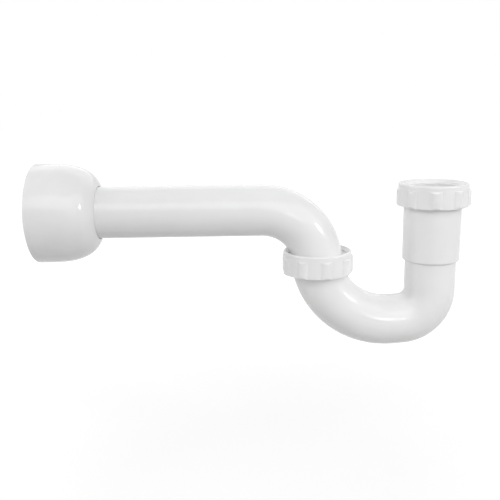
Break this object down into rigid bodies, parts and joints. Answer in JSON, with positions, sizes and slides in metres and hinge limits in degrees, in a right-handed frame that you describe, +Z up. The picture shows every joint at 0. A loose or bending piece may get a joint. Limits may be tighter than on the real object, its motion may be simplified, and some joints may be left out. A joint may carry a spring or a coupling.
{
  "type": "p-trap",
  "caption": "Moulded plastic P-trap with a slip-joint inlet socket, a J-bend water seal, a swivelling union, a straight outlet arm and a sliding domed wall flange.",
  "frame": {"origin": "on the inlet's axis, at the top of the inlet socket's straight bore", "axes": "+Z up along the inlet, against the flow; +X away from the wall, so the outlet arm runs towards -X; Y across the trap"},
  "size_m": [0.2654, 0.0606, 0.1188],
  "materials": {
    "white_plastic": "gloss white polypropylene",
    "washer": "natural polyethylene"
  },
  "bodies": {
    "trap": {"trap_bend": "white_plastic", "inlet_washer": "washer", "union_washer": "washer"},
    "arm": {"outlet_arm": "white_plastic"},
    "inlet_nut": {"inlet_nut": "white_plastic"},
    "union_nut": {"union_nut": "white_plastic"},
    "flange": {"wall_flange": "white_plastic"}
  },
  "joints": [
    {"name": "union_swivel", "type": "hinge", "parent": "trap", "child": "arm", "pos_m": [-0.0722, 0, -0.04], "axis": [0, 0, 1], "range_deg": [-125, 125]},
    {"name": "inlet_nut_turn", "type": "hinge", "parent": "trap", "child": "inlet_nut", "pos_m": [0, 0, 0], "axis": [0, 0, 1], "continuous": true},
    {"name": "union_nut_turn", "type": "hinge", "parent": "trap", "child": "union_nut", "pos_m": [-0.0722, 0, -0.04], "axis": [0, 0, 1], "continuous": true},
    {"name": "flange_slide", "type": "slide", "parent": "arm", "child": "flange", "axis": [1, 0, 0], "range_m": [0, 0.095]}
  ]
}
